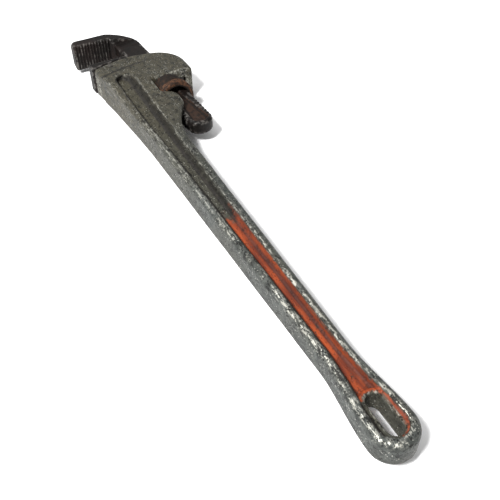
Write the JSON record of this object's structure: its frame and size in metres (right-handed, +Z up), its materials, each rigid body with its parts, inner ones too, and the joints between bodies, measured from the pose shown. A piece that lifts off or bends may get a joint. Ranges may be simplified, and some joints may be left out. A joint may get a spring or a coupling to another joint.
{
  "type": "pipe wrench",
  "caption": "Straight pattern pipe wrench with an aluminium I-section handle, a sprung sliding hook jaw moved by a knurled nut, and a pinned toothed heel jaw.",
  "frame": {"origin": "middle of the base of the object's bounding box, as it lies on its side with the jaws set 43.5 mm apart", "axes": "+X along the handle towards the head, +Y towards the open side of the jaws, +Z up through the thickness"},
  "size_m": [0.5612, 0.0932, 0.038],
  "materials": {
    "handle_casting": "dull, pitted sand casting with worn edges and old orange-red paint in the hollow of the grip",
    "jaw_steel": "dark oiled forged steel",
    "nut_steel": "knurled steel browned by rust",
    "spring_steel": "dark spring steel",
    "pin_steel": "worn steel"
  },
  "bodies": {
    "frame": {"handle": "handle_casting", "heel_jaw": "jaw_steel", "heel_jaw_pin": "pin_steel", "spring_pin": "pin_steel"},
    "spring_set": {"flat_spring": "spring_steel", "coil_spring": "spring_steel", "spring_rivet": "pin_steel"},
    "hook": {"hook_jaw": "jaw_steel"},
    "nut": {"adjusting_nut": "nut_steel"}
  },
  "joints": [
    {"name": "jaw_rock", "type": "hinge", "parent": "frame", "child": "spring_set", "pos_m": [0.14488, -0.01723, 0.019], "axis": [0, 0, -1], "range_deg": [0, 2.5], "stiffness_Nm_per_rad": 7, "springref_deg": -2.86},
    {"name": "nut_spin", "type": "hinge", "parent": "spring_set", "child": "nut", "pos_m": [0.14488, -0.01723, 0.019], "axis": [0.9991, 0.0419, 0], "range_deg": [-3224.5, 3054.4]},
    {"name": "jaw_slide", "type": "slide", "parent": "spring_set", "child": "hook", "axis": [0.9991, 0.0419, 0], "range_m": [-0.0431, 0.0455]}
  ],
  "couplings": [
    {"joint": "nut_spin", "follows": "jaw_slide", "rad_per_m": -1236.8}
  ]
}
